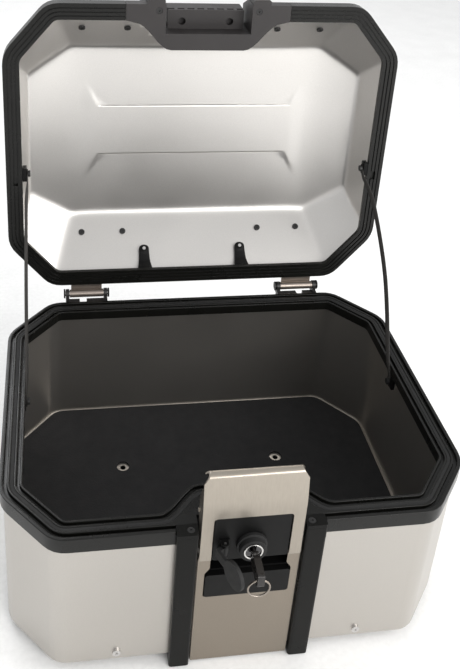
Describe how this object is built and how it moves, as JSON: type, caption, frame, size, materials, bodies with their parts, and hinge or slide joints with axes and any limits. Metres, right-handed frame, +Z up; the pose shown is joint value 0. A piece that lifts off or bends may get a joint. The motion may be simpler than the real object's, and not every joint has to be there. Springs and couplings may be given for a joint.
{
  "type": "motorcycle top case",
  "caption": "Motorcycle top case with an aluminium body and hinged pressed lid in black frames, a sprung latch with key lock and release button, and lid straps.",
  "frame": {"origin": "centre of the base's underside, on the face that rests on the carrier", "axes": "+X to the right seen from the front, -Y towards the front with the latch, +Z up"},
  "size_m": [0.48, 0.5179, 0.5853],
  "materials": {
    "body_aluminium": "satin, bead blasted, slightly warm",
    "lid_aluminium": "satin, bead blasted, fine grain",
    "black_plastic": "moulded, fine texture",
    "rim_plastic": "moulded, satin",
    "column_plastic": "moulded, satin",
    "rubber": "soft, matt",
    "latch_metal": "satin nickel with a champagne tone",
    "leaf_metal": "satin nickel, dark",
    "bracket_metal": "black powder coat",
    "rail_metal": "black powder coat",
    "chrome": "polished",
    "steel": "zinc plated",
    "lock_metal": "die cast and plated",
    "black_steel": "black zinc",
    "key_plastic": "smooth moulded, satin",
    "strap_webbing": "tight woven webbing"
  },
  "bodies": {
    "case": {"base_tray": "black_plastic", "base_pads": "rubber", "body_skin": "body_aluminium", "floor_mat": "rubber", "body_rim": "rim_plastic", "rim_gasket": "rubber", "column_left": "column_plastic", "column_right": "column_plastic", "column_cap_left": "column_plastic", "column_cap_right": "column_plastic", "cap_screws": "black_steel", "front_plate": "latch_metal", "skin_bolts": "steel", "lock_mount": "black_plastic", "lock_panel": "black_plastic", "lock_bezel": "rubber", "lock_trim": "chrome", "lock_housing": "lock_metal", "cover_bracket": "black_plastic", "cover_pin": "steel", "button_spring": "steel", "latch_pins": "steel", "latch_springs": "steel", "hinge_bracket_left": "bracket_metal", "hinge_bracket_right": "bracket_metal", "bracket_screws": "black_steel", "hinge_pin_left": "chrome", "hinge_pin_right": "chrome", "hinge_caps": "black_plastic", "body_lugs": "black_plastic", "body_lug_screws": "black_steel", "strap_left": "strap_webbing", "strap_right": "strap_webbing"},
    "lid": {"hinge_leaf_left": "leaf_metal", "hinge_leaf_right": "leaf_metal", "lid_skin": "lid_aluminium", "lid_frame": "rim_plastic", "lid_catch": "rim_plastic", "catch_screws": "black_steel", "tab_left": "black_plastic", "tab_right": "black_plastic", "tab_screws": "steel", "rail_front_left": "rail_metal", "rail_front_right": "rail_metal", "rail_rear_left": "rail_metal", "rail_rear_right": "rail_metal", "rail_screws": "black_steel", "lid_lugs": "black_plastic", "lid_lug_screws": "black_steel"},
    "latch": {"latch_plate": "latch_metal", "latch_rivets": "latch_metal"},
    "button": {"release_button": "black_plastic"},
    "plug": {"lock_plug": "lock_metal", "lock_cam": "steel", "key": "key_plastic", "key_ring": "chrome"},
    "cover": {"key_cover": "rubber"}
  },
  "joints": [
    {"name": "lid_hinge", "type": "hinge", "parent": "case", "child": "lid", "pos_m": [0, 0.2015, 0.191], "axis": [1, 0, 0], "range_deg": [0, 92], "deforming": ["strap_left", "strap_right"]},
    {"name": "latch_hinge", "type": "hinge", "parent": "case", "child": "latch", "pos_m": [0, -0.184, 0.158], "axis": [-1, 0, 0], "range_deg": [0, 6], "stiffness_Nm_per_rad": 0.6, "springref_deg": -17.19},
    {"name": "button_slide", "type": "slide", "parent": "case", "child": "button", "axis": [0, 1, 0], "range_m": [0, 0.004], "stiffness_N_per_m": 500, "springref_m": -0.004, "deforming": ["button_spring"]},
    {"name": "lock_turn", "type": "hinge", "parent": "case", "child": "plug", "pos_m": [0, -0.19, 0.168], "axis": [0, -1, 0], "range_deg": [0, 90]},
    {"name": "cover_hinge", "type": "hinge", "parent": "case", "child": "cover", "pos_m": [-0.027, -0.1951, 0.168], "axis": [0, 0, 1], "range_deg": [-34, 1]}
  ]
}
